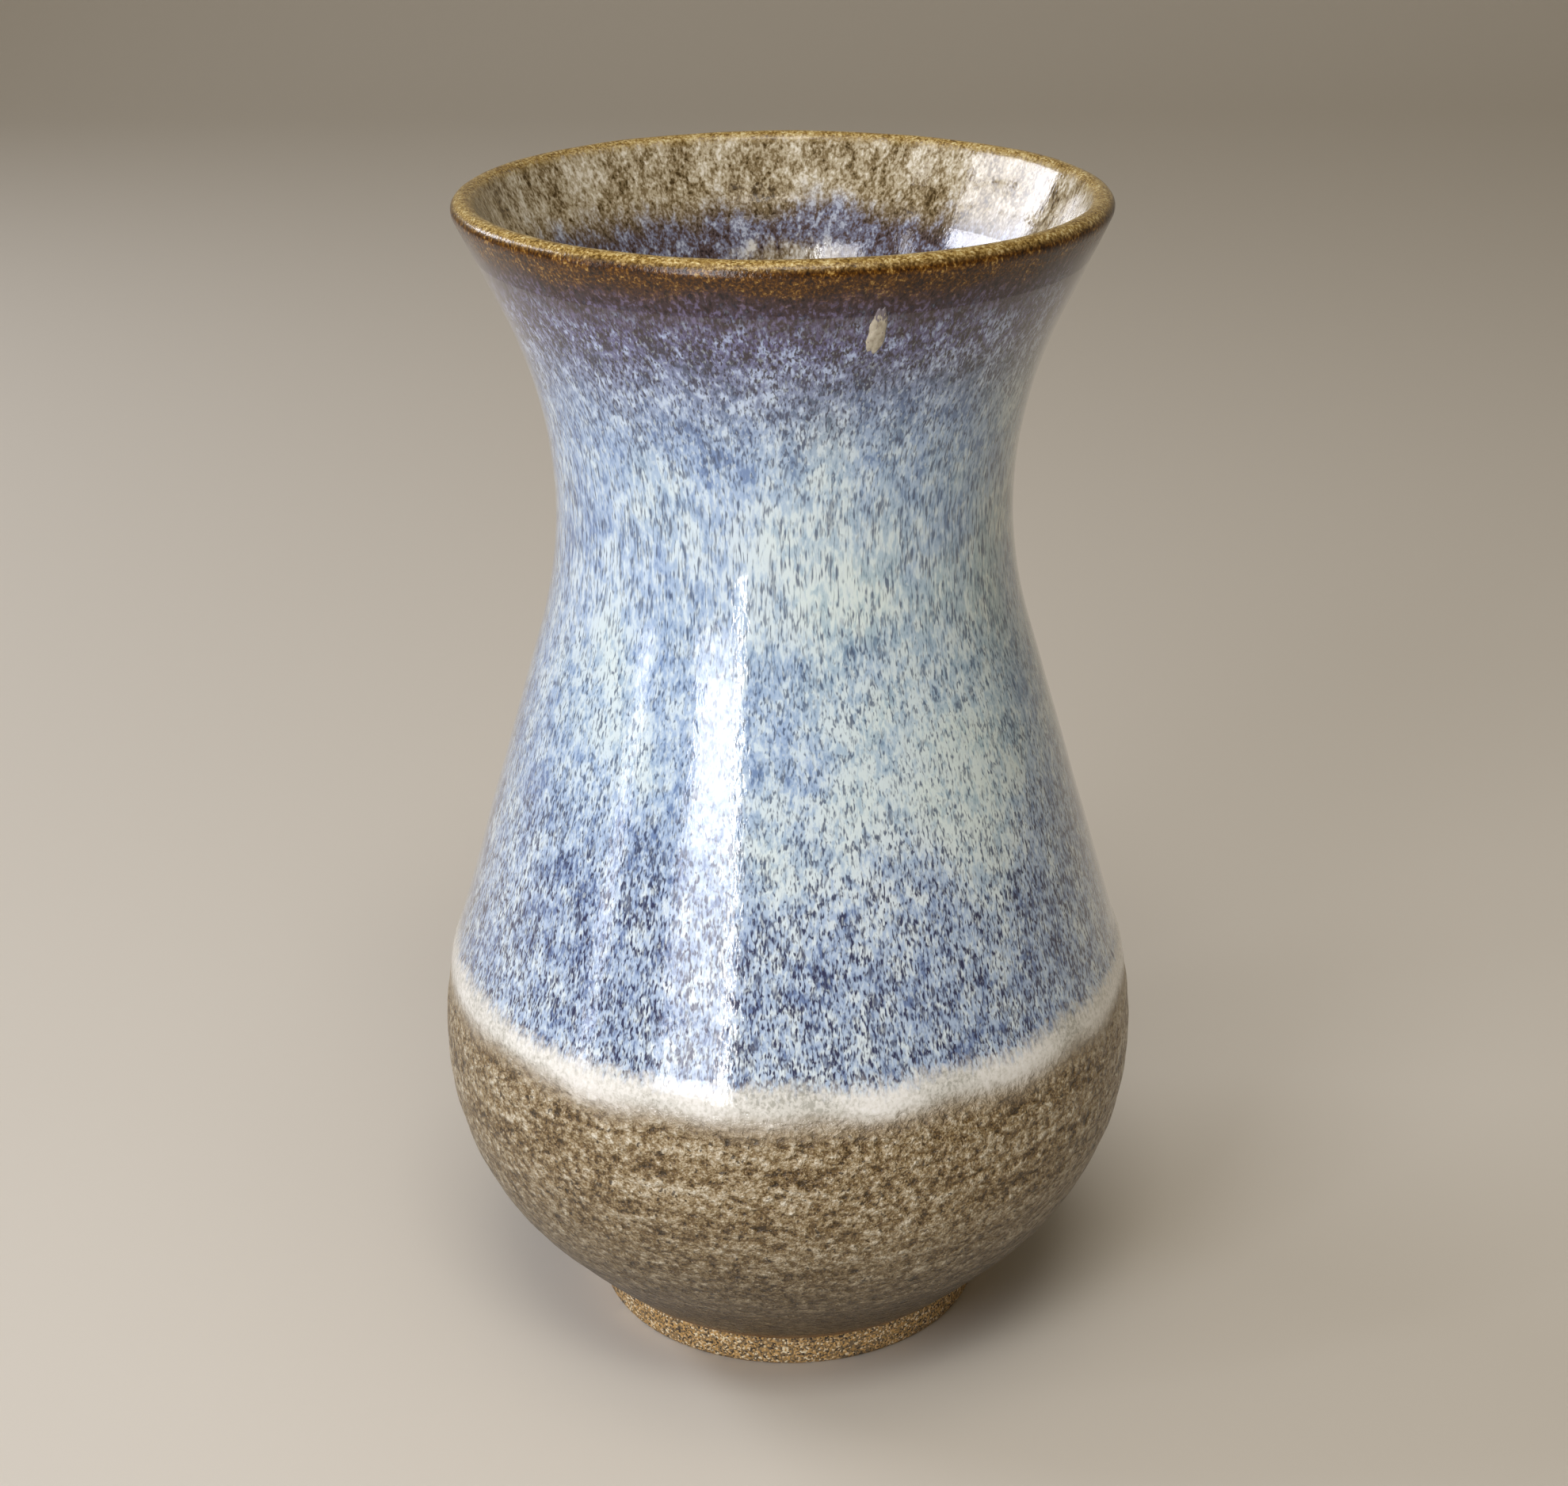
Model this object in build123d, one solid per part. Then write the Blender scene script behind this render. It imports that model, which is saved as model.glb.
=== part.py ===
from build123d import *

import os
from math import cos, radians, sin

# A hand-thrown stoneware vase: a fired clay wall under fused coats of glaze.
# Millimetres, +Z up, origin at the centre of the foot's resting face, front towards -Y.

# Overall size, measured on the outside of the glaze
HEIGHT = 180.0
BELLY_RADIUS = 54.8
BELLY_HEIGHT = 46.4
NECK_RADIUS = 34.1

# Outside above the belly: shoulder arc, straight side, hollow neck arc, straight flare, round lip
SHOULDER_ARC = 58.5
SIDE_LEAN = 16.5  # degrees from vertical
NECK_ARC = 69.0
FLARE = 25.6  # degrees from vertical
LIP_RADIUS = 1.75

# Outside below the belly: a tight arc, then a flatter one down to the foot
BOWL_ARC = 42.4
BOWL_TURN = 39.4  # degrees
UNDER_ARC = 140.0
UNDER_TURN = 11.0  # degrees, enough to pass the top of the foot

# Inside: the wall thickens from the lip down, and one arc rounds it into the floor
INSIDE_RADIUS = 49.8
INSIDE_SHOULDER_ARC = 54.0
INSIDE_LEAN = 15.4  # degrees from vertical
INSIDE_BOWL_ARC = 38.0

# Turned foot, bare of glaze, with a shallow recess inside the ring
FOOT_HEIGHT = 5.4
FOOT_RADIUS = 31.2
FOOT_TOP_RADIUS = 31.6
FOOT_RING_WIDTH = 6.0
FOOT_RECESS = 2.4
FOOT_EDGE = 0.7  # rounding where the foot meets the table

# Glaze coats
COAT = 0.5
RIM_COAT = 0.25  # the rim coat lies on the upper coat, which is thinner there
RIM_LINE_OUTSIDE = 172.0
RIM_LINE_INSIDE = 168.0
BAND_LOW = 59.0
BAND_HIGH = 63.6
BAND_RISE = 0.3  # how far the band stands above the coats beside it
BAND_EDGE = 0.28

# The one thick drop of pale glaze below the lip: its outline wraps three rounds in a row
DROP_AZIMUTH = 16.3  # degrees from the front, towards +X
DROP_HEIGHT = 169.8
DROP_RISE = 0.35
DROP_SLANT = 3.0  # degrees, tip towards -X
DROP_TOP = 2.55  # above the drop's middle
DROP_TOP_RADIUS = 1.0
DROP_BULGE = 0.6  # below the middle
DROP_BULGE_RADIUS = 1.3
DROP_TIP = 3.0  # below the middle
DROP_TIP_RADIUS = 0.55

# Room round the sections for the regions that cut them
REACH = 80.0


def straight_between(wide, narrow, arcs, lean):
    """Length of the straight side that joins two tangent arcs, from the radii at their ends."""
    return (wide - narrow - arcs * (1 - cos(radians(lean)))) / sin(radians(lean))


SIDE_LENGTH = straight_between(BELLY_RADIUS, NECK_RADIUS, SHOULDER_ARC + NECK_ARC, SIDE_LEAN)
INSIDE_NECK_ARC = NECK_ARC + 2 * LIP_RADIUS
INSIDE_NECK_RADIUS = NECK_RADIUS - 2 * LIP_RADIUS
INSIDE_LENGTH = straight_between(
    INSIDE_RADIUS, INSIDE_NECK_RADIUS, INSIDE_SHOULDER_ARC + INSIDE_NECK_ARC, INSIDE_LEAN
)
NECK_HEIGHT = (
    BELLY_HEIGHT
    + (SHOULDER_ARC + NECK_ARC) * sin(radians(SIDE_LEAN))
    + SIDE_LENGTH * cos(radians(SIDE_LEAN))
)
FLARE_START = NECK_HEIGHT + NECK_ARC * sin(radians(FLARE))
FLARE_END = HEIGHT - LIP_RADIUS - LIP_RADIUS * sin(radians(FLARE))
FLARE_LENGTH = (FLARE_END - FLARE_START) / cos(radians(FLARE))


def chain(start, heading, steps):
    """Lines and arcs in (radius, height), each leaving the way the last one ended.

    A step is ("line", length) or ("arc", radius, turn), with a positive turn to the left.
    """
    edges = []
    for kind, *sizes in steps:
        if kind == "line":
            edge = PolarLine(start, sizes[0], direction=heading)
        else:
            edge = JernArc(start, heading, *sizes)
        edges.append(edge)
        start = edge @ 1
        heading = edge % 1
    return edges


def wall(depth):
    """Half section of the vase above its foot, with its surface moved into the clay by depth."""
    upwards = chain(
        (BELLY_RADIUS - depth, BELLY_HEIGHT),
        (0, 1),
        [
            ("arc", SHOULDER_ARC - depth, SIDE_LEAN),
            ("line", SIDE_LENGTH),
            ("arc", NECK_ARC + depth, -SIDE_LEAN - FLARE),
            ("line", FLARE_LENGTH),
            ("arc", LIP_RADIUS - depth, 180),
            ("line", FLARE_LENGTH),
            ("arc", INSIDE_NECK_ARC - depth, FLARE + INSIDE_LEAN),
            ("line", INSIDE_LENGTH),
            ("arc", INSIDE_SHOULDER_ARC + depth, -INSIDE_LEAN),
            ("arc", INSIDE_BOWL_ARC + depth, -90),
            ("line", INSIDE_RADIUS - INSIDE_BOWL_ARC),
        ],
    )
    downwards = chain(
        (BELLY_RADIUS - depth, BELLY_HEIGHT),
        (0, -1),
        [
            ("arc", BOWL_ARC - depth, -BOWL_TURN),
            ("arc", UNDER_ARC - depth, -UNDER_TURN),
        ],
    )
    floor_centre = upwards[-1] @ 1
    under_end = downwards[-1] @ 1
    closing = Polyline(floor_centre, (0, under_end.Y), under_end)
    section = make_face(Curve() + upwards + downwards + closing)
    return section & band_of_height(FOOT_HEIGHT, HEIGHT + REACH)


def band_of_height(low, high):
    """Everything between two heights, as a region of the half section."""
    return Pos(0, low) * Rectangle(REACH, high - low, align=(Align.MIN, Align.MIN))


def spun(section):
    """The solid that a half section makes about the vase's axis."""
    return revolve(Plane.XZ * section, Axis.Z)


def rim_region():
    """The region of the half section that the rim coat covers, lower inside than outside."""
    middle_at_start = NECK_RADIUS + NECK_ARC * (1 - cos(radians(FLARE))) - LIP_RADIUS
    lean = sin(radians(FLARE)) / cos(radians(FLARE))
    inside_edge = middle_at_start + (RIM_LINE_INSIDE - FLARE_START) * lean
    outside_edge = middle_at_start + (RIM_LINE_OUTSIDE - FLARE_START) * lean
    return make_face(
        Polyline(
            (0, RIM_LINE_INSIDE),
            (inside_edge, RIM_LINE_INSIDE),
            (outside_edge, RIM_LINE_OUTSIDE),
            (REACH, RIM_LINE_OUTSIDE),
            (REACH, HEIGHT + REACH),
            (0, HEIGHT + REACH),
            close=True,
        )
    )


def clay_body():
    """The thrown wall and floor with the turned foot ring, all one piece of clay."""
    foot = make_face(
        Polyline(
            (0, FOOT_RECESS),
            (FOOT_RADIUS - FOOT_RING_WIDTH, FOOT_RECESS),
            (FOOT_RADIUS - FOOT_RING_WIDTH, 0),
            (FOOT_RADIUS, 0),
            (FOOT_TOP_RADIUS, FOOT_HEIGHT),
            (0, FOOT_HEIGHT),
            close=True,
        )
    )
    resting = foot.vertices().sort_by(Axis.Y)[:2]
    foot = fillet(resting, FOOT_EDGE)
    return spun(wall(COAT) + foot)


def outside_of(section, low, high):
    """The stretch of a coat on the outside of the vase, between two heights below the lip."""
    stretches = (section & band_of_height(low, high)).faces()
    return make_face(stretches.sort_by(Axis.X)[-1].outer_wire())


def lower_glaze():
    """The brown coat from the foot up to the band."""
    return spun(outside_of(wall(0) - wall(COAT), FOOT_HEIGHT, BAND_LOW))


def overlap_band():
    """The raised white ring where the two glazes overlap."""
    ring = outside_of(wall(-BAND_RISE) - wall(COAT), BAND_LOW, BAND_HIGH)
    return spun(fillet(ring.vertices().sort_by(Axis.X)[-2:], BAND_EDGE))


def upper_glaze():
    """The blue coat above the band, over the lip and down the whole inside."""
    coat = wall(0) - wall(COAT)
    coat -= outside_of(coat, FOOT_HEIGHT, BAND_HIGH)
    return spun(coat - (rim_region() - wall(RIM_COAT)))


def rim_glaze():
    """The honey-coloured coat over the lip."""
    return spun((wall(0) - wall(RIM_COAT)) & rim_region())


def glaze_drop():
    """The thick pale drop, lying on the face of the coats below the lip."""
    skin = spun(outside_of(wall(-DROP_RISE) - wall(0), NECK_HEIGHT, FLARE_END))
    rounds = [
        Pos(0, DROP_TOP) * Circle(DROP_TOP_RADIUS),
        Pos(0, -DROP_BULGE) * Circle(DROP_BULGE_RADIUS),
        Pos(0, -DROP_TIP) * Circle(DROP_TIP_RADIUS),
    ]
    outline = make_hull([edge for disc in rounds for edge in disc.edges()])
    facing = Plane(
        origin=(0, 0, DROP_HEIGHT),
        x_dir=(cos(radians(DROP_AZIMUTH)), sin(radians(DROP_AZIMUTH)), 0),
        z_dir=(sin(radians(DROP_AZIMUTH)), -cos(radians(DROP_AZIMUTH)), 0),
    )
    return skin & extrude(facing * Rot(0, 0, -DROP_SLANT) * outline, REACH)


PARTS = {
    "clay_body": clay_body,
    "lower_glaze": lower_glaze,
    "overlap_band": overlap_band,
    "upper_glaze": upper_glaze,
    "rim_glaze": rim_glaze,
    "glaze_drop": glaze_drop,
}

os.makedirs("parts", exist_ok=True)
for name, make in PARTS.items():
    export_step(make(), f"parts/{name}.step")
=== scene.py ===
from math import asin, atan2, cos, exp, pi, radians, sin

import bmesh
import bpy
from mathutils import Matrix, Vector, noise


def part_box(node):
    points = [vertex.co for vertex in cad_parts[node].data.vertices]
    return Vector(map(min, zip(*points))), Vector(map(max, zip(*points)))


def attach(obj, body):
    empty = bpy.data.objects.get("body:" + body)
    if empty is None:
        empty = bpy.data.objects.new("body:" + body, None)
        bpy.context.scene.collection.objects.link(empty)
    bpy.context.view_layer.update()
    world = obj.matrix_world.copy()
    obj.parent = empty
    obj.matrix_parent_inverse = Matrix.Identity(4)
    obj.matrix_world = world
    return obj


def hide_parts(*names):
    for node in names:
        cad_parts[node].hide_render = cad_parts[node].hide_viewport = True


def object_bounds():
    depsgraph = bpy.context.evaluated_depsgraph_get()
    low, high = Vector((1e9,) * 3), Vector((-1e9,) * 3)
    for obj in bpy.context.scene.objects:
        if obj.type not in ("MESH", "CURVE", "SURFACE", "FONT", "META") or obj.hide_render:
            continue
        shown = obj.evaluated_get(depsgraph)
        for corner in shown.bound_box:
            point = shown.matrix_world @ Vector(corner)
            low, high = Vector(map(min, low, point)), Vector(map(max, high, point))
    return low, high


# A hand-thrown stoneware vase in metres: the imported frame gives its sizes, and each coat of glaze
# and the clay get a finely spun mesh and one shared field of colour.

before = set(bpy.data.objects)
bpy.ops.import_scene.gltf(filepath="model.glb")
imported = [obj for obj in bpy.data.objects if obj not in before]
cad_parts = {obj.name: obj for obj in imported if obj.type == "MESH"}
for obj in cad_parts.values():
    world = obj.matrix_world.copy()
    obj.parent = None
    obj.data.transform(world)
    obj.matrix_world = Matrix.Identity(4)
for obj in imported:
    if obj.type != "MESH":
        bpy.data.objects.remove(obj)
cad_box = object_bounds()

MM = 0.001

# Sizes read from the frame
HEIGHT = cad_box[1].z
BELLY_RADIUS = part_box("lower_glaze")[1].x
FOOT_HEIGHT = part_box("lower_glaze")[0].z
BAND_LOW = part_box("overlap_band")[0].z
BAND_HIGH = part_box("overlap_band")[1].z
RIM_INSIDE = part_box("rim_glaze")[0].z

# Tangent arcs of the outline, as in the design
BELLY_HEIGHT = 46.4 * MM
NECK_RADIUS = 34.1 * MM
SHOULDER_ARC = 58.5 * MM
SIDE_LEAN = radians(16.5)
NECK_ARC = 69.0 * MM
FLARE = radians(25.6)
LIP_RADIUS = 1.75 * MM
BOWL_ARC = 42.4 * MM
BOWL_TURN = radians(39.4)
UNDER_ARC = 140.0 * MM
INSIDE_RADIUS = 49.8 * MM
INSIDE_SHOULDER_ARC = 54.0 * MM
INSIDE_LEAN = radians(15.4)
INSIDE_BOWL_ARC = 38.0 * MM
COAT = 0.5 * MM
RIM_OUTSIDE = 172.0 * MM

# Foot
FOOT_RADIUS = 31.2 * MM
FOOT_TOP_RADIUS = 31.6 * MM
FOOT_RING_WIDTH = 6.0 * MM
FOOT_RECESS = 2.4 * MM

TURNS = 320  # mesh columns round the vase


# ---------------------------------------------------------------- outline


def straight_between(wide, narrow, arcs, lean):
    """Length of the straight side that joins two tangent arcs."""
    return (wide - narrow - arcs * (1 - cos(lean))) / sin(lean)


def outline_steps():
    """The glaze's face from the foot, up, over the lip and down inside, as (length, curvature)."""
    side = straight_between(BELLY_RADIUS, NECK_RADIUS, SHOULDER_ARC + NECK_ARC, SIDE_LEAN)
    inside_neck_arc = NECK_ARC + 2 * LIP_RADIUS
    inside_side = straight_between(
        INSIDE_RADIUS,
        NECK_RADIUS - 2 * LIP_RADIUS,
        INSIDE_SHOULDER_ARC + inside_neck_arc,
        INSIDE_LEAN,
    )
    neck_height = (
        BELLY_HEIGHT + (SHOULDER_ARC + NECK_ARC) * sin(SIDE_LEAN) + side * cos(SIDE_LEAN)
    )
    flare_start = neck_height + NECK_ARC * sin(FLARE)
    flare = (HEIGHT - LIP_RADIUS * (1 + sin(FLARE)) - flare_start) / cos(FLARE)
    return [
        (UNDER_ARC * (UNDER_LEAN - BOWL_TURN), 1 / UNDER_ARC),
        (BOWL_ARC * BOWL_TURN, 1 / BOWL_ARC),
        (SHOULDER_ARC * SIDE_LEAN, 1 / SHOULDER_ARC),
        (side, 0),
        (NECK_ARC * (SIDE_LEAN + FLARE), -1 / NECK_ARC),
        (flare, 0),
        (LIP_RADIUS * pi, 1 / LIP_RADIUS),
        (flare, 0),
        (inside_neck_arc * (FLARE + INSIDE_LEAN), 1 / inside_neck_arc),
        (inside_side, 0),
        (INSIDE_SHOULDER_ARC * INSIDE_LEAN, -1 / INSIDE_SHOULDER_ARC),
        (INSIDE_BOWL_ARC * pi / 2, -1 / INSIDE_BOWL_ARC),
        (INSIDE_RADIUS - INSIDE_BOWL_ARC, 0),
    ]


BOWL_END = BELLY_HEIGHT - BOWL_ARC * sin(BOWL_TURN)
UNDER_LEAN = asin(sin(BOWL_TURN) + (BOWL_END - FOOT_HEIGHT) / UNDER_ARC)
UNDER_RADIUS = (
    BELLY_RADIUS
    - BOWL_ARC * (1 - cos(BOWL_TURN))
    - UNDER_ARC * (cos(BOWL_TURN) - cos(UNDER_LEAN))
)


def walk_outline():
    """Each step of the outline with its start: (from, to, radius, height, heading, curvature)."""
    legs = []
    along, radius, height, heading = 0.0, UNDER_RADIUS, FOOT_HEIGHT, pi / 2 - UNDER_LEAN
    for length, bend in outline_steps():
        legs.append((along, along + length, radius, height, heading, bend))
        radius, height, heading = on_leg(legs[-1], along + length)
        along += length
    return legs


def on_leg(leg, along):
    """Radius, height and heading at a station of one leg."""
    start, _, radius, height, heading, bend = leg
    run = along - start
    if bend == 0:
        return radius + run * cos(heading), height + run * sin(heading), heading
    turned = heading + bend * run
    return (
        radius + (sin(turned) - sin(heading)) / bend,
        height - (cos(turned) - cos(heading)) / bend,
        turned,
    )


LEGS = walk_outline()
LIP_START = LEGS[6][0]
LIP_END = LEGS[6][1]
LIP_TOP = LIP_START + LIP_RADIUS * (pi / 2 + FLARE)
FLOOR_CENTRE = LEGS[-1][1]
AXIS_GAP = 0.02 * MM  # the innermost rows stop this far from the axis


def place(along):
    """Radius, height and outward normal of the glaze's face at a station."""
    leg = next((leg for leg in LEGS if along <= leg[1]), LEGS[-1])
    radius, height, heading = on_leg(leg, along)
    return radius, height, sin(heading), -cos(heading)


def station(height, inside=False):
    """The station on the outside, or the inside, at a height."""
    low, high = (LIP_TOP, FLOOR_CENTRE - 12 * MM) if inside else (0.0, LIP_TOP)
    for _ in range(40):
        middle = (low + high) / 2
        if (place(middle)[1] > height) == inside:
            low = middle
        else:
            high = middle
    return (low + high) / 2


AT_BAND_LOW = station(BAND_LOW)
AT_BAND_HIGH = station(BAND_HIGH)
AT_BAND = (AT_BAND_LOW + AT_BAND_HIGH) / 2
AT_RIM_OUTSIDE = station(RIM_OUTSIDE)
AT_RIM_INSIDE = station(RIM_INSIDE, inside=True)


def smooth(low, high, value):
    """0 below low, 1 above high and a smooth step between."""
    t = min(max((value - low) / (high - low), 0), 1)
    return t * t * (3 - 2 * t)


# ---------------------------------------------------------------- relief of the thrown surface


def wave(x, y, along, size, stretch, seed):
    """Smooth noise from -1 to 1, with features size across and size * stretch along the wall."""
    return noise.noise(Vector((x / size, y / size, along / (size * stretch) + seed)))


def band_middle(x, y):
    """Station of the band's middle, which wanders a little round the vase."""
    front = -y / BELLY_RADIUS
    return AT_BAND - 0.9 * MM * front + 1.1 * MM * wave(x, y, 0, 26 * MM, 1, 3.7)


def relief(x, y, along):
    """How far the surface stands out: throwing rings, soft dents, the spiral on the floor."""
    lower = 1 - smooth(AT_BAND - 4 * MM, AT_BAND + 4 * MM, along)
    near_foot = smooth(3 * MM, 22 * MM, along)
    inside = smooth(LIP_END, LIP_END + 10 * MM, along)
    tilt = along + 0.03 * x
    rings = wave(x, y, tilt, 60 * MM, 0.045, 11.0) + 0.6 * wave(x, y, tilt, 40 * MM, 0.035, 5.0)
    broad = wave(x, y, tilt, 90 * MM, 0.09, 23.0)
    dents = wave(x, y, along, 21 * MM, 1.3, 31.0)
    lip = smooth(LIP_START - 6 * MM, LIP_START, along) * (1 - inside)
    lip_waves = wave(x, y, 0, 17 * MM, 1, 47.0) + 0.5 * wave(x, y, 0, 6 * MM, 1, 53.0)
    below_lip = smooth(LIP_END, LIP_END + 4 * MM, along)
    ridges = wave(x, y, tilt, 55 * MM, 0.11, 61.0)
    collar = smooth(LIP_END + 5 * MM, LIP_END + 16 * MM, along)
    collar *= 1 - smooth(LIP_END + 16 * MM, LIP_END + 50 * MM, along)
    to_centre = FLOOR_CENTRE - along
    spiral = sin(2 * pi * to_centre / (6.5 * MM) + atan2(y, x))
    spiral *= smooth(0, 3 * MM, to_centre) * (1 - smooth(14 * MM, 34 * MM, to_centre))
    return MM * (
        0.15 * rings * lower * near_foot
        + 0.10 * broad * (1 - lip) * near_foot
        + 0.07 * dents
        + 0.13 * lip * lip_waves
        + 0.03 * inside * rings
        + 0.07 * below_lip * ridges
        + 0.42 * collar
        + 0.12 * spiral
    )


# ---------------------------------------------------------------- meshes


def spread(start, end, step):
    """Stations from start to end, about step apart."""
    count = max(2, round(abs(end - start) / step))
    return [start + (end - start) * i / count for i in range(count + 1)]


def point(turn, along, depth):
    """A point on the vase: turn is the angle from the front, towards +X."""
    radius, height, out, up = place(along)
    x, y = radius * sin(turn), -radius * cos(turn)
    stand = relief(x, y, along) - depth(x, y, along)
    reach = radius + out * stand
    return Vector((reach * sin(turn), -reach * cos(turn), height + up * stand))


def ring_of(along, depth):
    """The points of one row, right round the vase."""
    return [point(2 * pi * i / TURNS, along, depth) for i in range(TURNS)]


def spin(name, shown, hidden, strips):
    """A closed ring of rows round the axis.

    shown and hidden are lists of rows that follow each other round the section. A row is
    (along, depth), with depth a function of x, y and the station. strips are the
    (first row, last row, bottom, top) spans of the texture that rows of the shown side get.
    """
    rows = shown + hidden
    points, alongs = [], []
    for along, depth in rows:
        points += ring_of(along, depth)
        alongs += [along] * TURNS
    return close_ring(name, points, alongs, len(rows), len(shown), strips)


def close_ring(name, points, alongs, row_count, shown_count, strips):
    """The mesh of rows of points round the axis, with its bake map and its station attribute."""
    faces = []
    for j in range(row_count):
        below = j * TURNS
        above = (j + 1) % row_count * TURNS
        for i in range(TURNS):
            n = (i + 1) % TURNS
            faces.append((below + i, below + n, above + n, above + i))
    mesh = bpy.data.meshes.new(name)
    mesh.from_pydata(points, [], faces)
    mesh.attributes.new("along", "FLOAT", "POINT").data.foreach_set("value", alongs)
    map_for_bake(mesh, row_count, shown_count, strips)
    mesh.shade_smooth()
    piece = bpy.data.objects.new(name, mesh)
    bpy.context.collection.objects.link(piece)
    return piece


HIDDEN_STRIP = (0.985, 0.998)


def map_for_bake(mesh, row_count, shown_count, strips):
    """Two stacked half turns for each strip of shown rows, and a sliver for the hidden ones."""
    half = TURNS // 2
    uvs = []
    for j in range(row_count):
        strip = next((s for s in strips if s[0] <= j < s[1]), None)
        for i in range(TURNS):
            first = i < half // 2 or i >= TURNS - half // 2
            column = (i + half // 2) % TURNS % half
            left, right = column / half, (column + 1) / half
            if strip is None:
                bottom, top = HIDDEN_STRIP
                each = (top - bottom) / (row_count - shown_count + 1)
                low = bottom + each * (j - shown_count + 1)
                high = low + each
            else:
                start, end, bottom, top = strip
                middle = (bottom + top) / 2
                floor_v, ceiling_v = (bottom, middle - 0.002) if first else (middle + 0.002, top)
                low = floor_v + (ceiling_v - floor_v) * (j - start) / (end - start)
                high = floor_v + (ceiling_v - floor_v) * (j + 1 - start) / (end - start)
            uvs += [left, low, right, low, right, high, left, high]
    layer = mesh.uv_layers.new(name="OFBake")
    layer.data.foreach_set("uv", uvs)


# Every piece of the vase, for the lamps that light it and not the floor
VASE = bpy.data.collections.new("vase")


def finish_piece(piece, node, material):
    """Gives a piece its material and says which node of the design it stands for."""
    piece.name = f"{node}_visual"
    VASE.objects.link(piece)
    piece.data.materials.append(material)
    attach(piece, "root")
    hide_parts(node)


# ---------------------------------------------------------------- depth of each coat's face


def at_back(x, y, along):
    """The side of every coat that lies on the clay."""
    return COAT


TUCK = 0.12 * MM  # how deep a coat's edge dives under its neighbour


def lower_face(x, y, along):
    """The brown coat, rounded off where it stops on the foot."""
    return 0.35 * MM * exp(-along / (0.35 * MM)) - 0.05 * MM * exp(-((along / MM - 1.6) ** 2))


def band_face(x, y, along):
    """The band: a soft swelling whose two edges dive under the coats beside it."""
    off = abs(along - band_middle(x, y)) / (3.6 * MM)
    rise = 0.26 * MM * max(0.0, 1 - off * off) ** 1.5
    return TUCK * smooth(0.95, 1.5, off) - rise


def upper_face(x, y, along):
    """The blue coat, a little lower where the rim coat covers it."""
    covered = smooth(AT_RIM_OUTSIDE - 3 * MM, AT_RIM_OUTSIDE + 3 * MM, along)
    covered *= 1 - smooth(AT_RIM_INSIDE - 3 * MM, AT_RIM_INSIDE + 3 * MM, along)
    return TUCK * covered


def rim_face(x, y, along):
    """The rim coat, whose edges dive under the blue coat's face."""
    covering = smooth(AT_RIM_OUTSIDE - 3 * MM, AT_RIM_OUTSIDE + 3 * MM, along)
    covering *= 1 - smooth(AT_RIM_INSIDE - 3 * MM, AT_RIM_INSIDE + 3 * MM, along)
    return TUCK * (1 - covering)


# ---------------------------------------------------------------- node trees


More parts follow.
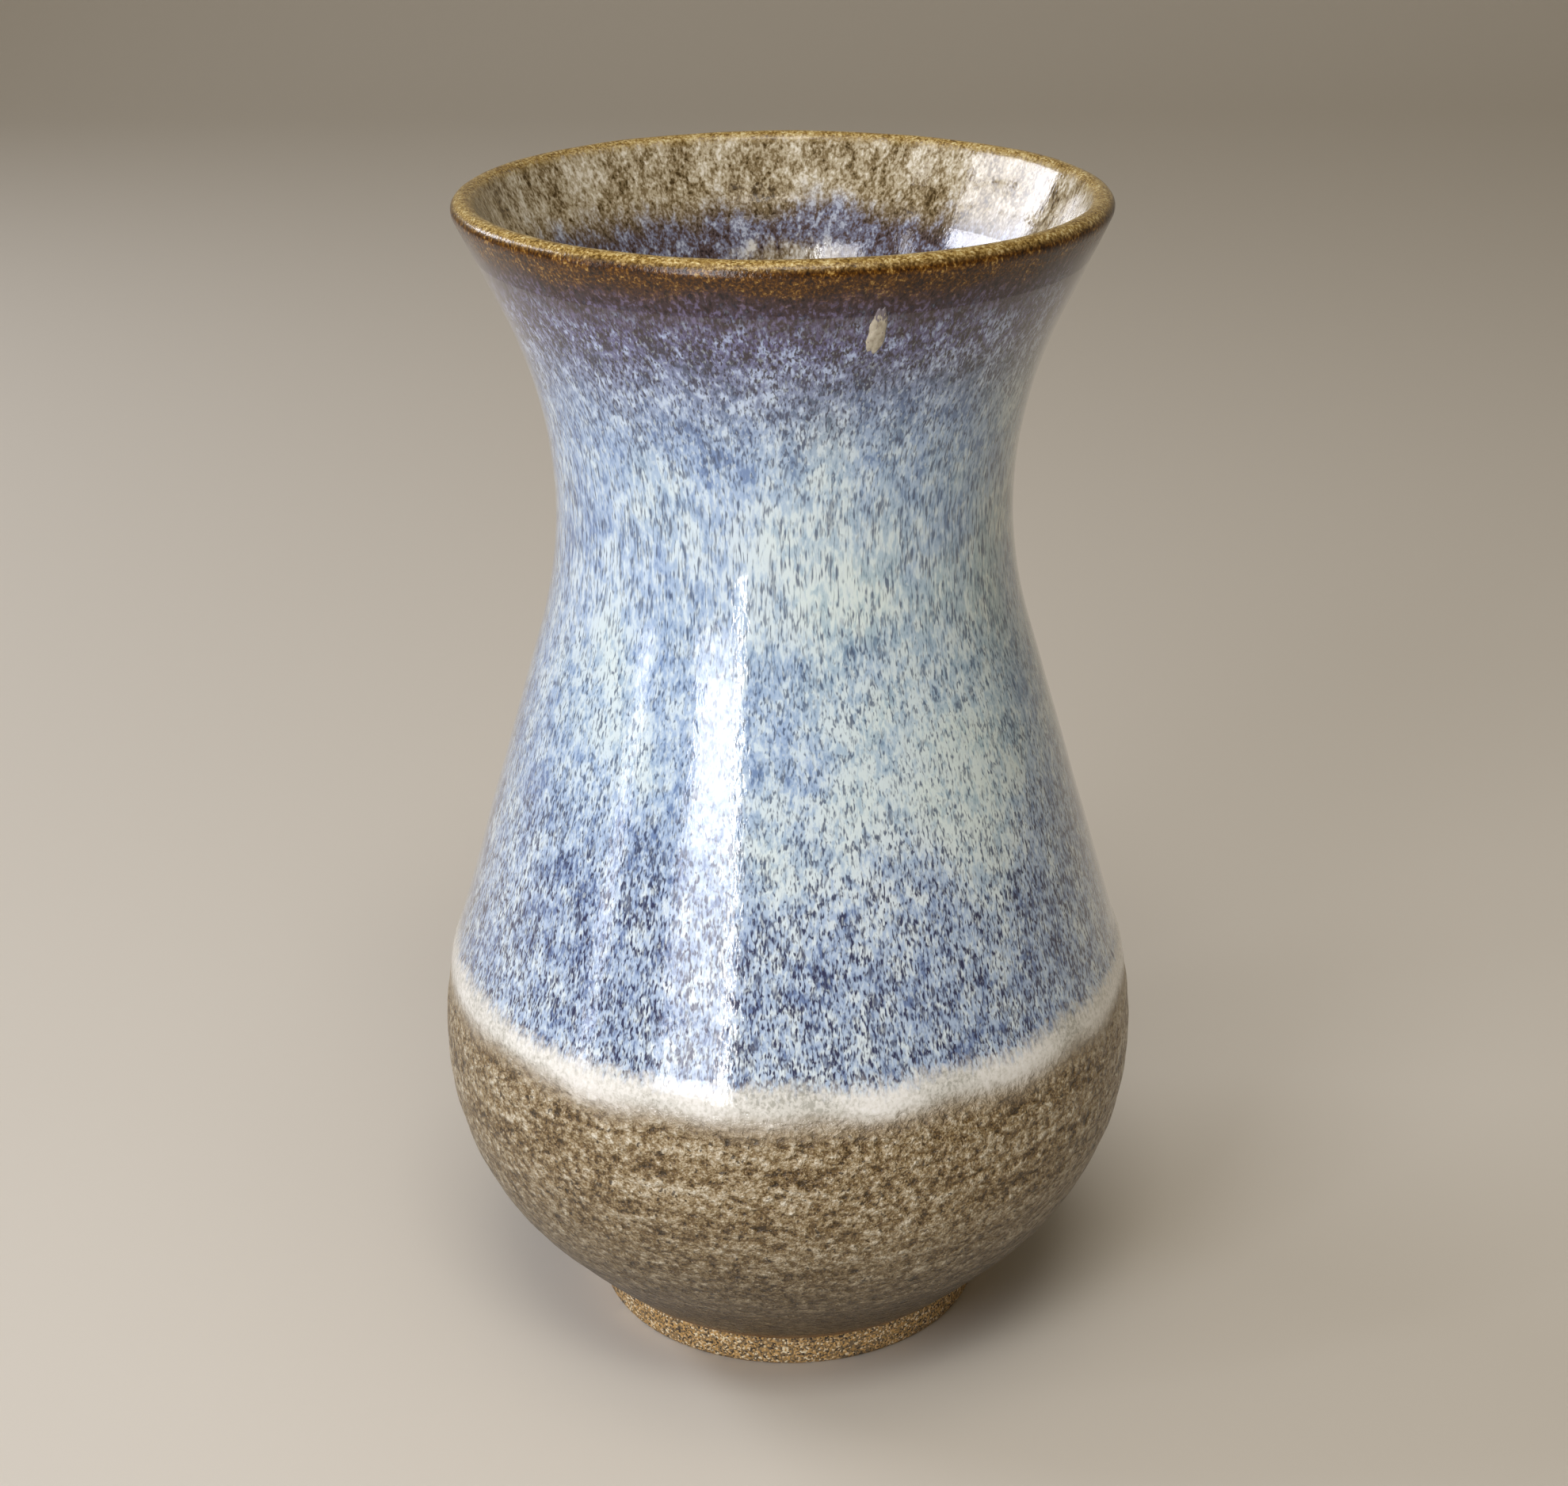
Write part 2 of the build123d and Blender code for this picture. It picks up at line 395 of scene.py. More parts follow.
class Graph:
    """Short calls that add nodes to a tree. Values may be numbers, colours or other sockets."""

    def __init__(self, tree):
        self.tree = tree

    def node(self, kind, **settings):
        made = self.tree.nodes.new(kind)
        for key, value in settings.items():
            setattr(made, key, value)
        return made

    def put(self, socket, value):
        if isinstance(value, bpy.types.NodeSocket):
            self.tree.links.new(value, socket)
        else:
            socket.default_value = value

    def math(self, operation, a, b=0.0, c=0.0):
        made = self.node("ShaderNodeMath", operation=operation)
        for socket, value in zip(made.inputs, (a, b, c)):
            self.put(socket, value)
        return made.outputs[0]

    def add(self, a, b):
        return self.math("ADD", a, b)

    def times(self, a, b):
        return self.math("MULTIPLY", a, b)

    def step(self, value, low, high):
        """0 where value is low, 1 where it is high, smooth between. low may be above high."""
        made = self.node("ShaderNodeMapRange", interpolation_type="SMOOTHSTEP")
        flip = high < low
        self.put(made.inputs["Value"], value)
        self.put(made.inputs["From Min"], min(low, high))
        self.put(made.inputs["From Max"], max(low, high))
        self.put(made.inputs["To Min"], 1.0 if flip else 0.0)
        self.put(made.inputs["To Max"], 0.0 if flip else 1.0)
        return made.outputs["Result"]

    def vector(self, operation, a, b):
        made = self.node("ShaderNodeVectorMath", operation=operation)
        self.put(made.inputs[0], a)
        self.put(made.inputs[1], b)
        return made.outputs[0]

    def length(self, where):
        made = self.node("ShaderNodeVectorMath", operation="LENGTH")
        self.put(made.inputs[0], where)
        return made.outputs["Value"]

    def parts(self, where):
        """The X, Y and Z of a vector."""
        made = self.node("ShaderNodeSeparateXYZ")
        self.put(made.inputs[0], where)
        return made.outputs

    def noise(self, where, size, stretch=1.0, detail=2.0, rough=0.5, warp=0.0):
        """Noise with features about size metres across and size * stretch along the wall."""
        scaled = self.vector("MULTIPLY", where, (1 / size, 1 / size, 1 / (size * stretch)))
        made = self.node("ShaderNodeTexNoise")
        self.put(made.inputs["Vector"], scaled)
        self.put(made.inputs["Scale"], 1.0)
        self.put(made.inputs["Detail"], detail)
        self.put(made.inputs["Roughness"], rough)
        self.put(made.inputs["Distortion"], warp)
        return made.outputs["Fac"]

    def cells(self, where, size, stretch=1.0):
        """Voronoi cells: their distance and their colour."""
        scaled = self.vector("MULTIPLY", where, (1 / size, 1 / size, 1 / (size * stretch)))
        made = self.node("ShaderNodeTexVoronoi")
        self.put(made.inputs["Vector"], scaled)
        self.put(made.inputs["Scale"], 1.0)
        return made.outputs["Distance"], made.outputs["Color"]

    def ramp(self, value, stops):
        """Colours along a value, from (position, "rrggbb") stops."""
        made = self.node("ShaderNodeValToRGB")
        made.color_ramp.interpolation = "EASE"
        points = made.color_ramp.elements
        while len(points) < len(stops):
            points.new(0.5)
        for element, (position, _) in zip(points, stops):
            element.position = position
        for element, (_, shade) in zip(points, stops):
            element.color = paint(shade)
        self.put(made.inputs[0], value)
        return made.outputs["Color"]

    def mix(self, amount, low, high, blend="MIX"):
        made = self.node("ShaderNodeMix", data_type="RGBA", blend_type=blend)
        self.put(made.inputs["Factor"], amount)
        self.put(made.inputs["A"], low)
        self.put(made.inputs["B"], high)
        return made.outputs["Result"]


def paint(shade):
    """A hex colour as it looks on a screen, in the renderer's linear values."""
    channels = [int(shade[i : i + 2], 16) / 255 for i in (0, 2, 4)]
    return [c / 12.92 if c <= 0.04045 else ((c + 0.055) / 1.055) ** 2.4 for c in channels] + [1.0]


# ---------------------------------------------------------------- the glaze's colours


def wall_place(g):
    """(x, y, station) of the shaded point, and the station alone."""
    parts = g.parts(g.node("ShaderNodeTexCoord").outputs["Object"])
    along = g.node("ShaderNodeAttribute", attribute_name="along").outputs["Fac"]
    joined = g.node("ShaderNodeCombineXYZ")
    g.put(joined.inputs["X"], parts["X"])
    g.put(joined.inputs["Y"], parts["Y"])
    g.put(joined.inputs["Z"], along)
    return joined.outputs[0], along


def spot(turn, height):
    """(x, y, station) of a place on the outside."""
    along = station(height)
    radius = place(along)[0]
    return (radius * sin(turn), -radius * cos(turn), along)


def inside_spot(turn, height):
    """(x, y, station) of a place on the inside wall."""
    along = station(height, inside=True)
    radius = place(along)[0]
    return (radius * sin(turn), -radius * cos(turn), along)


def patch(g, where, turn, height, wide, tall, soft=0.6):
    """1 in the middle of an oval patch on the outside, fading to 0 at its edge."""
    away = g.vector("SUBTRACT", where, spot(radians(turn), height * MM))
    away = g.vector("MULTIPLY", away, (1 / (wide * MM), 1 / (wide * MM), 1 / (tall * MM)))
    return g.step(g.length(away), 1.0, 1.0 - soft)


def centred(g, value, gain):
    """A noise value moved to the middle of zero and made stronger."""
    return g.times(g.math("SUBTRACT", value, 0.5), gain)


def dashes(g, where, size, stretch, more, warp):
    """1 on short thin strokes down the wall, 0 beside them. more raises how many there are."""
    field = g.noise(where, size, stretch, 1.0, 0.5, warp)
    return g.step(g.add(field, more), 0.54, 0.75)


def blue_colour(g, where, along):
    """Rutile blue: pale on the neck and side, deep above the band, purple towards the rim."""
    clouds = g.noise(where, 14 * MM, 1.5, 2.0, 0.5, 0.3)
    patches = g.noise(where, 3.0 * MM, 1.6, 2.0, 0.55, 0.5)
    grain = g.noise(where, 0.62 * MM, 3.2, 2.0, 0.55, 0.3)
    drift = centred(g, clouds, 20 * MM)
    low = g.step(g.add(along, drift), station(107 * MM), station(80 * MM))
    high = g.step(g.add(along, g.times(drift, 0.5)), station(147 * MM), station(170 * MM))
    pale = g.math(
        "MAXIMUM", patch(g, where, 26, 101, 34, 31, 0.8), patch(g, where, 2, 134, 26, 17, 0.8)
    )
    pale = g.math("MAXIMUM", pale, g.times(patch(g, where, -42, 116, 26, 30, 0.8), 0.8))

    tone = g.add(0.5, centred(g, patches, 1.2))
    tone = g.add(tone, centred(g, grain, 1.25))
    tone = g.add(tone, centred(g, clouds, 0.40))
    tone = g.add(tone, g.times(pale, 0.24))
    blue = g.ramp(tone, [(0.18, "718bb6"), (0.48, "a5bddd"), (0.82, "d2e3f0")])
    green = g.ramp(tone, [(0.18, "8aa3ae"), (0.48, "b9cfd4"), (0.82, "dfece8")])
    deep = g.ramp(tone, [(0.18, "6f83ac"), (0.48, "b0c4e0"), (0.82, "deebf3")])
    purple = g.ramp(tone, [(0.24, "2f2229"), (0.48, "605c84"), (0.80, "adbbdd")])
    greener = g.add(g.times(g.parts(where)["X"], 0.5 / BELLY_RADIUS), centred(g, clouds, 1.6))
    greener = g.step(g.add(greener, g.times(pale, 0.25)), -0.25, 0.70)
    colour = g.mix(greener, blue, green)
    colour = g.mix(g.times(low, 0.9), colour, deep)
    colour = g.mix(high, colour, purple)

    # Dark strokes, many above the band and under the rim, few between
    gather = g.noise(where, 2.6 * MM, 1.5, 2.0, 0.6, 0.4)
    dense = g.math("MAXIMUM", low, high)
    more = g.add(centred(g, gather, 0.38), g.times(dense, 0.035))
    more = g.add(more, g.times(pale, -0.02))
    thin = dashes(g, where, 0.36 * MM, 7.0, g.add(more, 0.045), 0.3)
    thick = dashes(g, where, 0.66 * MM, 4.4, g.add(more, -0.02), 0.6)
    dark = g.math("MAXIMUM", thin, g.times(thick, 0.85))
    dark = g.times(dark, g.add(0.82, g.times(dense, 0.15)))
    ink = g.mix(dense, paint("43526e"), paint("2f3152"))
    ink = g.mix(high, ink, paint("2c1f26"))
    colour = g.mix(dark, colour, ink)
    light = g.noise(where, 0.4 * MM, 4.0, 1.0, 0.5, 0.3)
    light = g.times(g.step(light, 0.57, 0.72), g.add(0.55, g.times(high, -0.3)))
    colour = g.mix(light, colour, paint("d3e0e6"))

    # Purple-black clumps where the glaze is deepest
    clumps = g.noise(where, 1.2 * MM, 1.5, 2.0, 0.6, 0.8)
    clumps = g.step(g.add(clumps, centred(g, gather, 0.3)), 0.64, 0.74)
    return g.mix(g.times(clumps, g.times(dense, 0.4)), colour, paint("302a3b"))


def brown_colour(g, where, along):
    """Half-matt grey-brown over the lower wall: pale lumps, dark pits and throwing rings, with
    painted shade towards the foot.
    """
    shift = g.noise(where, 1.6 * MM, 1.0, 2.0, 0.6, 0.0)
    bent = g.vector("ADD", where, g.vector("MULTIPLY", shift, (1.1 * MM, 1.1 * MM, 0.8 * MM)))
    distance, _ = g.cells(bent, 1.35 * MM, 0.80)
    domes = g.math("SUBTRACT", 0.45, distance)
    blobs = g.noise(where, 1.5 * MM, 0.85, 3.0, 0.62, 0.3)
    lumps = g.add(g.times(domes, 0.22), blobs)
    grain = g.noise(where, 0.40 * MM, 0.9, 2.0, 0.65, 0.3)
    broad = g.noise(where, 7 * MM, 0.5, 2.0, 0.5, 0.2)
    rings = g.noise(where, 24 * MM, 0.13, 2.0, 0.5, 0.1)
    pits = g.noise(where, 0.85 * MM, 0.9, 1.0, 0.5, 0.5)
    # Painted shade: this mask rises towards the foot, where it calms the texture and darkens the
    # brown into the shaded colours.
    calm_and_shade = g.step(along, station(49 * MM), station(13 * MM))
    tone = g.add(centred(g, blobs, 1.35), centred(g, grain, 1.15))
    # Lighter dome tops and darker hollows between them: partly glaze thinning over the peaks,
    # partly painted shade in the hollows.
    tone = g.add(tone, g.times(domes, 0.50))
    tone = g.add(tone, centred(g, broad, 0.40))
    tone = g.add(tone, centred(g, rings, 0.5))
    tone = g.math("MULTIPLY_ADD", tone, g.math("MULTIPLY_ADD", calm_and_shade, -0.2, 1.0), 0.50)
    brown = g.ramp(
        tone,
        [(0.06, "3c2c12"), (0.28, "6d5530"), (0.46, "95805b"), (0.66, "b9a98c"), (0.92, "e2dac6")],
    )
    # The shaded colours are painted shade under the belly, tinted warm as a painted reflection of a
    # wooden table.
    shaded = g.ramp(tone, [(0.06, "130b03"), (0.46, "382913"), (0.92, "7c6843")])
    brown = g.mix(g.times(calm_and_shade, 0.9), brown, shaded)
    brown = g.mix(g.times(g.step(pits, 0.64, 0.72), 0.8), brown, paint("2a1e0f"))
    # Cream specks on the grain: partly the glaze's own specks, partly painted glints.
    brown = g.mix(g.times(g.step(grain, 0.67, 0.75), 0.7), brown, paint("d8cbac"))
    flash = g.step(along, 5.2 * MM, 0.2 * MM)
    return g.mix(g.times(flash, 0.8), brown, paint("94632f")), lumps


def rim_colour(g, where, along):
    """Dark honey below the lip, with cream and brown grains on the lip itself."""
    grains = g.noise(where, 0.45 * MM, 1.2, 2.0, 0.6, 0.4)
    blots = g.noise(where, 2.6 * MM, 1.2, 2.0, 0.5, 0.3)
    tone = g.add(g.add(0.5, centred(g, grains, 1.6)), centred(g, blots, 0.6))
    amber = g.ramp(tone, [(0.15, "1d0f05"), (0.48, "442706"), (0.66, "6b450f"), (0.90, "ab8a4c")])
    lip = g.ramp(tone, [(0.12, "553e18"), (0.38, "8d6f35"), (0.58, "bda263"), (0.85, "e8dba9")])
    on_top = g.step(along, LIP_START + 1.1 * MM, LIP_START + 2.6 * MM)
    return g.mix(on_top, amber, lip)


def inside_colour(g, where, along):
    """Cream and brown streaks below the lip inside, then grey-blue and purple-brown."""
    streaks = g.noise(where, 1.3 * MM, 2.6, 2.0, 0.55, 0.5)
    grains = g.noise(where, 0.45 * MM, 1.8, 2.0, 0.6, 0.3)
    clouds = g.noise(where, 7 * MM, 2.5, 2.0, 0.5, 0.3)
    tone = g.add(g.add(0.5, centred(g, streaks, 1.15)), centred(g, grains, 1.2))
    tone = g.add(tone, centred(g, clouds, 0.9))
    cream = g.ramp(
        tone, [(0.10, "4a3a20"), (0.34, "8c7a58"), (0.56, "c5b89b"), (0.86, "f4eede")]
    )
    deep = g.ramp(
        tone, [(0.14, "291d22"), (0.42, "5a4a4a"), (0.62, "7c7f98"), (0.88, "bfc8dc")]
    )
    edge = g.add(along, centred(g, streaks, 5 * MM))
    edge = g.add(edge, centred(g, clouds, 13 * MM))
    deeper = g.step(edge, station(172.5 * MM, inside=True), station(166.0 * MM, inside=True))
    colour = g.mix(deeper, cream, deep)
    drip = g.vector("SUBTRACT", where, inside_spot(radians(177), 160.5 * MM))
    drip = g.vector("MULTIPLY", drip, (1 / (11 * MM), 1 / (11 * MM), 1 / (5 * MM)))
    drip = g.add(g.length(drip), centred(g, streaks, -1.5))
    return g.mix(g.times(g.step(drip, 1.1, 0.4), 0.75), colour, cream)


def glaze_fields():
    """One node group with every glaze's colour, roughness and height, so no seam shows."""
    tree = bpy.data.node_groups.new("glaze_fields", "ShaderNodeTree")
    tree.interface.new_socket("Color", in_out="OUTPUT", socket_type="NodeSocketColor")
    tree.interface.new_socket("Roughness", in_out="OUTPUT", socket_type="NodeSocketFloat")
    tree.interface.new_socket("Height", in_out="OUTPUT", socket_type="NodeSocketFloat")
    g = Graph(tree)
    out = g.node("NodeGroupOutput")
    where, along = wall_place(g)

    blue = blue_colour(g, where, along)
    brown, lumps = brown_colour(g, where, along)
    rim = rim_colour(g, where, along)
    inner = inside_colour(g, where, along)

    # The line between brown and blue, and the white band along it
    feather = g.noise(where, 0.8 * MM, 3.5, 2.0, 0.55, 0.4)
    speckle = g.noise(where, 0.6 * MM, 1.3, 2.0, 0.6, 0.3)
    wander = g.noise(where, 14 * MM, 1.0, 2.0, 0.5, 0.0)
    front = g.times(g.parts(where)["Y"], -1 / BELLY_RADIUS)
    line = g.add(along, g.times(front, 0.9 * MM))
    line = g.add(line, centred(g, wander, 4.0 * MM))
    lumpy = g.add(line, centred(g, lumps, 1.6 * MM))
    ragged = g.add(line, centred(g, feather, 5.5 * MM))
    haze = g.step(lumpy, AT_BAND_LOW - 4.6 * MM, AT_BAND_LOW - 0.9 * MM)
    above_low = g.step(lumpy, AT_BAND_LOW - 2.4 * MM, AT_BAND_LOW + 1.7 * MM)
    above_high = g.step(ragged, AT_BAND_HIGH - 2.0 * MM, AT_BAND_HIGH + 1.9 * MM)
    shade = g.add(speckle, centred(g, wander, 0.9))
    cream = g.ramp(shade, [(0.22, "b4b3aa"), (0.42, "dad9d2"), (0.62, "eeede8"), (0.85, "f8f8f6")])
    colour = g.mix(g.times(haze, 0.7), brown, paint("a99b85"))
    colour = g.mix(above_low, colour, cream)
    colour = g.mix(above_high, colour, blue)

    # The rim coat: honey, then purple-brown where it thins over the blue
    grains = g.noise(where, 0.7 * MM, 2.2, 2.0, 0.6, 0.3)
    speckled = g.add(along, centred(g, grains, 7 * MM))
    speckled = g.add(speckled, centred(g, wander, 6 * MM))
    dusk = g.ramp(grains, [(0.30, "1d1213"), (0.50, "3f2e2f"), (0.70, "6d6583")])
    in_dusk = g.step(speckled, station(167 * MM), station(174 * MM))
    in_rim = g.step(speckled, station(173.5 * MM), station(177 * MM))
    colour = g.mix(in_dusk, colour, dusk)
    colour = g.mix(in_rim, colour, rim)
    inside = g.step(along, LIP_END - 1.2 * MM, LIP_END + 1.0 * MM)
    colour = g.mix(inside, colour, inner)

    # Gloss: the brown is half matt, the rest is glassy with fine unevenness
    satin = g.math("SUBTRACT", 1.0, above_low)
    rough = g.math("MULTIPLY_ADD", satin, 0.24, 0.12)
    rough = g.add(rough, centred(g, feather, 0.10))
    on_lip = g.times(in_rim, g.math("SUBTRACT", 1.0, inside))
    rough = g.add(rough, g.times(on_lip, 0.16))

    # Height in metres, for the bump
    fine = centred(g, feather, 0.035 * MM)
    coarse = g.times(centred(g, lumps, 1.4 * MM), satin)
    gritty = g.math("MAXIMUM", satin, g.times(on_lip, 0.3))
    sandy = g.times(centred(g, speckle, 0.26 * MM), gritty)
    height = g.add(g.add(fine, coarse), sandy)

    g.put(out.inputs["Color"], colour)
    g.put(out.inputs["Roughness"], rough)
    g.put(out.inputs["Height"], height)
    return tree


def new_material(name):
    """An empty material and its Principled shader."""
    material = bpy.data.materials.new(name)
    material.use_nodes = True
    g = Graph(material.node_tree)
    shader = next(n for n in material.node_tree.nodes if n.type == "BSDF_PRINCIPLED")
    return material, g, shader


def bump(g, shader, height):
    """Height in metres to the shader's normal."""
    made = g.node("ShaderNodeBump")
    g.put(made.inputs["Height"], height)
    g.put(made.inputs["Distance"], 1.0)
    g.put(made.inputs["Strength"], 1.0)
    g.put(shader.inputs["Normal"], made.outputs["Normal"])
    g.put(shader.inputs["Coat Normal"], made.outputs["Normal"])


def glaze_material(name, fields, coat, coat_roughness, shine=0.5):
    """A fused glaze: the shared field under a clear glassy skin."""
    material, g, shader = new_material(name)
    group = g.node("ShaderNodeGroup", node_tree=fields)
    g.put(shader.inputs["Base Color"], group.outputs["Color"])
    g.put(shader.inputs["Roughness"], group.outputs["Roughness"])
    g.put(shader.inputs["Coat Weight"], coat)
    g.put(shader.inputs["Coat Roughness"], coat_roughness)
    g.put(shader.inputs["Specular IOR Level"], shine)
    g.put(shader.inputs["IOR"], 1.5)
    bump(g, shader, group.outputs["Height"])
    return material


def clay_material():
    """Bare sandy clay: tan and gold grains in grey-brown."""
    material, g, shader = new_material("bare_clay")
    where = g.node("ShaderNodeTexCoord").outputs["Object"]
    distance, tint = g.cells(where, 0.30 * MM)
    tints = g.node("ShaderNodeSeparateColor")
    g.put(tints.inputs[0], tint)
    blots = g.noise(where, 3.0 * MM, 1.0, 2.0, 0.6, 0.3)
    tone = g.add(g.times(tints.outputs["Red"], 0.95), centred(g, blots, 0.45))
    colour = g.ramp(
        tone,
        [(0.02, "43372a"), (0.26, "7d6c53"), (0.50, "a98854"), (0.74, "cfa667"), (0.97, "f3e6c6")],
    )
    g.put(shader.inputs["Base Color"], colour)
    g.put(shader.inputs["Roughness"], g.math("MULTIPLY_ADD", blots, 0.2, 0.68))
    height = g.add(g.times(distance, -0.10 * MM), g.times(blots, 0.10 * MM))
    bump(g, shader, height)
    return material


# ---------------------------------------------------------------- the pieces


def make_clay(material):
    """The clay: its foot shows, and the rest lies under the coats."""

    def foot_row(radius, height):
        return [
            Vector((radius * sin(2 * pi * i / TURNS), -radius * cos(2 * pi * i / TURNS), height))
            for i in range(TURNS)
        ]

    ring_inside = FOOT_RADIUS - FOOT_RING_WIDTH
    edge = 0.7 * MM
    outer = [
        (AXIS_GAP, FOOT_RECESS),
        (0.4 * MM, FOOT_RECESS),
        (ring_inside * 0.5, FOOT_RECESS),
        (ring_inside - 1.0 * MM, FOOT_RECESS),
        (ring_inside - 0.2 * MM, FOOT_RECESS - 0.3 * MM),
        (ring_inside, FOOT_RECESS - 1.0 * MM),
        (ring_inside + 0.1 * MM, edge),
        (ring_inside + 0.3 * MM, 0.2 * MM),
        (ring_inside + edge, 0.0),
        (FOOT_RADIUS - edge, 0.0),
        (FOOT_RADIUS - 0.25 * MM, 0.2 * MM),
        (FOOT_RADIUS, edge),
        (FOOT_RADIUS + 0.12 * MM, 0.3 * FOOT_HEIGHT),
        (FOOT_RADIUS + 0.2 * MM, 0.6 * FOOT_HEIGHT),
        (FOOT_TOP_RADIUS - 0.1 * MM, 0.9 * FOOT_HEIGHT),
        (FOOT_TOP_RADIUS - 0.5 * MM, FOOT_HEIGHT),
    ]
    points, alongs = [], []
    for radius, height in outer:
        points += foot_row(radius, height)
        alongs += [0.0] * TURNS
    wall = spread(2 * MM, FLOOR_CENTRE - 1 * MM, 3.4 * MM) + [FLOOR_CENTRE - AXIS_GAP]
    for along in wall:
        points += ring_of(along, lambda x, y, a: 1.1 * COAT)
        alongs += [along] * TURNS
    rows = len(outer) + len(wall)
    strips = [(0, len(outer) - 1, 0.0, 0.97)]
    piece = close_ring("clay_body", points, alongs, rows, len(outer), strips)
    finish_piece(piece, "clay_body", material)


def make_coat(name, material, start, end, face, step, strips=None):
    """A coat from one station to another, with its shown face and its back on the clay."""
    shown = [(along, face) for along in spread(start, end, step)]
    hidden = [(along, at_back) for along in spread(end, start, 3.4 * MM)]
    piece = spin(name, shown, hidden, strips or [(0, len(shown) - 1, 0.0, 0.98)])
    finish_piece(piece, name, material)
    return piece


def make_upper(material):
    """The blue coat: finely spun outside, more coarsely inside, on two strips of its bake map."""
    outside = spread(AT_BAND, AT_RIM_OUTSIDE + 4 * MM, 0.95 * MM)
    under_rim = spread(AT_RIM_OUTSIDE + 4 * MM, AT_RIM_INSIDE - 4 * MM, 3 * MM)[1:]
    inside = spread(AT_RIM_INSIDE - 4 * MM, FLOOR_CENTRE - 0.4 * MM, 1.6 * MM)[1:]
    inside.append(FLOOR_CENTRE - AXIS_GAP)
    shown = [(along, upper_face) for along in outside + under_rim + inside]
    hidden = [(along, at_back) for along in spread(FLOOR_CENTRE - AXIS_GAP, AT_BAND, 7.5 * MM)]
    first = len(outside) - 1
    second = first + len(under_rim)
    strips = [
        (0, first, 0.0, 0.62),
        (first, second, 0.625, 0.655),
        (second, len(shown) - 1, 0.66, 0.98),
    ]
    piece = spin("upper_glaze", shown, hidden, strips)
    finish_piece(piece, "upper_glaze", material)


def make_drop():
    """The cream drop: a long low dome, wide at its top, lying aslant under the lip."""
    material, g, shader = new_material("cream_drop")
    where = g.node("ShaderNodeTexCoord").outputs["Object"]
    grain = g.noise(where, 0.7 * MM, 2.0, 2.0, 0.5, 0.3)
    colour = g.ramp(grain, [(0.25, "968c78"), (0.5, "b5ac98"), (0.8, "d3cbb8")])
    thread = g.noise(where, 0.35 * MM, 4.0, 1.0, 0.5, 0.2)
    low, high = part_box("glaze_drop")
    thin = g.step(g.parts(where)["Z"], high.z - 3.2 * MM, high.z - 0.3 * MM)
    thin = g.step(g.add(g.times(thin, 0.55), centred(g, thread, 1.6)), 0.22, 0.42)
    colour = g.mix(g.times(thin, 0.85), colour, paint("5f5665"))
    g.put(shader.inputs["Base Color"], colour)
    g.put(shader.inputs["Roughness"], g.math("MULTIPLY_ADD", grain, 0.2, 0.12))
    g.put(shader.inputs["Coat Weight"], 0.5)
    bump(g, shader, g.times(grain, 0.05 * MM))

    middle = (low + high) / 2
    turn = atan2(middle.x, -middle.y)
    centre = station(middle.z)
    radius = place(centre)[0]
    slant = radians(3)
    rings, spokes = 10, 40
    points, alongs = [], []
    for side in (1, -1):
        for ring in range(rings + 1):
            reach = ring / rings
            for spoke in range(spokes):
                angle = 2 * pi * spoke / spokes
                tip = 1 - 0.45 * max(0.0, -sin(angle)) ** 5
                across = cos(angle) * (1.0 - 0.16 * sin(angle)) * tip * 1.30 * MM * reach
                down = sin(angle) * 3.85 * MM * reach
                rag = noise.noise(Vector((cos(angle) * 2.5, sin(angle) * 2.5, 9.0)))
                ragged = 1 + 0.22 * rag * reach
                u = (across * cos(slant) + down * sin(slant)) * ragged
                v = (down * cos(slant) - across * sin(slant)) * ragged
                dome = 0.34 * MM * (1 - reach**2.4) ** 0.7 - 0.03 * MM
                depth = -dome if side == 1 else 0.05 * MM
                if ring == rings:
                    depth = 0.03 * MM
                points.append(point(turn + u / radius, centre + v, lambda x, y, a: depth))
                alongs.append(centre + v)
    faces = []
    for side in (0, 1):
        base = side * (rings + 1) * spokes
        for ring in range(rings):
            for spoke in range(spokes):
                n = (spoke + 1) % spokes
                a, b = base + ring * spokes + spoke, base + ring * spokes + n
                c, d = b + spokes, a + spokes
                faces.append((a, d, c, b) if side == 0 else (a, b, c, d))
    mesh = bpy.data.meshes.new("glaze_drop")
    mesh.from_pydata(points, [], faces)
    weld(mesh)
    mesh.shade_smooth()
    piece = bpy.data.objects.new("glaze_drop", mesh)
    bpy.context.collection.objects.link(piece)
    finish_piece(piece, "glaze_drop", material)


def weld(mesh):
    """Joins points that lie on each other."""
    work = bmesh.new()
    work.from_mesh(mesh)
    bmesh.ops.remove_doubles(work, verts=work.verts, dist=1e-6)
    bmesh.ops.dissolve_degenerate(work, edges=work.edges, dist=1e-7)
    work.to_mesh(mesh)
    work.free()


fields = glaze_fields()
glossy = glaze_material("blue_glaze", fields, 0.8, 0.06)
honey = glaze_material("honey_glaze", fields, 0.35, 0.08, shine=0.25)
white = glaze_material("band_glaze", fields, 0.5, 0.12)
satin = glaze_material("brown_glaze", fields, 0.28, 0.16, shine=0.4)

make_clay(clay_material())
make_coat("lower_glaze", satin, 0.05 * MM, AT_BAND, lower_face, 0.42 * MM)
make_coat("overlap_band", white, AT_BAND - 6 * MM, AT_BAND + 6 * MM, band_face, 0.35 * MM)
make_upper(glossy)
make_coat("rim_glaze", honey, AT_RIM_OUTSIDE - 5 * MM, AT_RIM_INSIDE + 5 * MM, rim_face, 0.3 * MM)
make_drop()


# ---------------------------------------------------------------- stage, lights and camera


